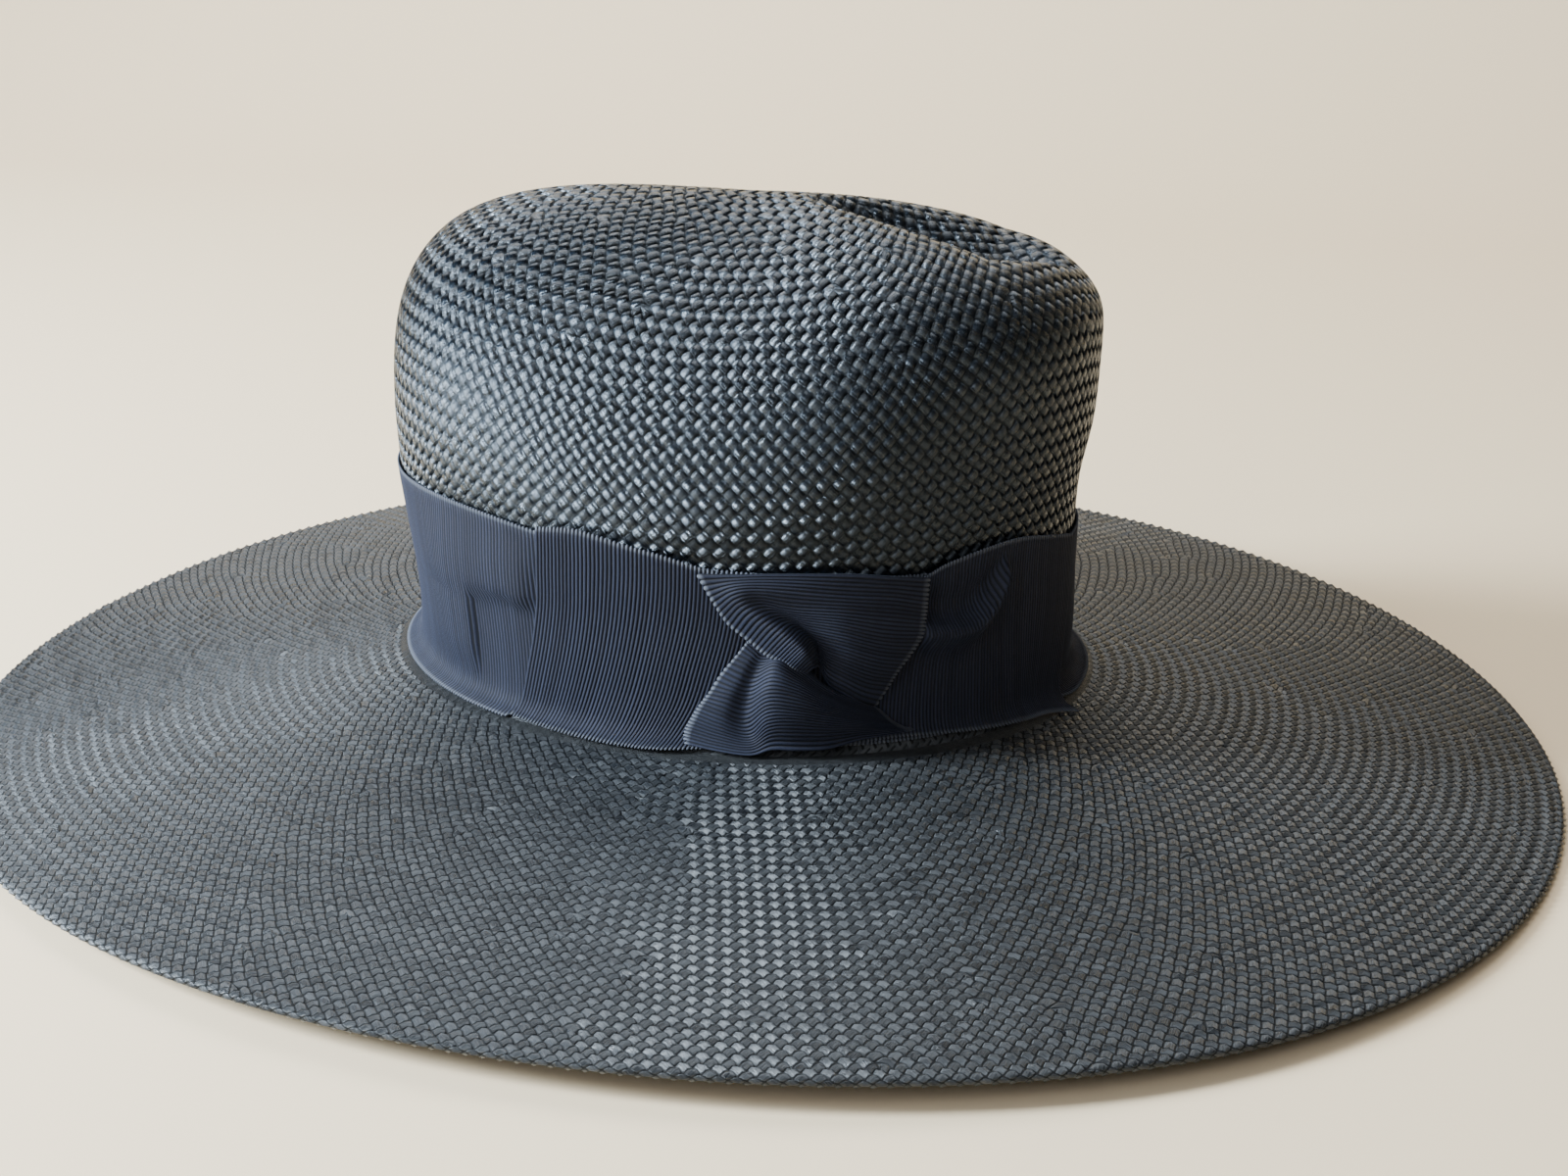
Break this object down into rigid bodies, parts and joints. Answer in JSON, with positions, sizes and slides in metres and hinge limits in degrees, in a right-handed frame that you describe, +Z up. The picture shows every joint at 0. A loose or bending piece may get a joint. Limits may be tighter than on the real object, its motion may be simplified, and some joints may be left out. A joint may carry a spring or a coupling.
{
  "type": "wide-brim hat",
  "caption": "Stiff wide-brim hat of plaited straw with a tall dented crown, a turned brim hem and a ribbon band tied in a flat knot at the side.",
  "frame": {"origin": "on the floor under the middle of the brim, in the plane the hat rests on", "axes": "+Z up through the crown, +X to the front of the hat where the crown is pinched, knot on the -Y side"},
  "size_m": [0.4738, 0.44, 0.1614],
  "materials": {
    "crown_straw": "plaited sisal dyed navy black, semi-gloss fibres",
    "brim_straw": "plaited sisal dyed navy black, slightly hazy",
    "grosgrain": "ribbed navy grosgrain, matt with a faint sheen"
  },
  "bodies": {
    "root": {"crown": "crown_straw", "brim": "brim_straw", "ribbon_band": "grosgrain", "ribbon_left_tail": "grosgrain", "ribbon_right_tail": "grosgrain", "knot_upper_loop": "grosgrain", "knot_lower_loop": "grosgrain"}
  },
  "joints": []
}
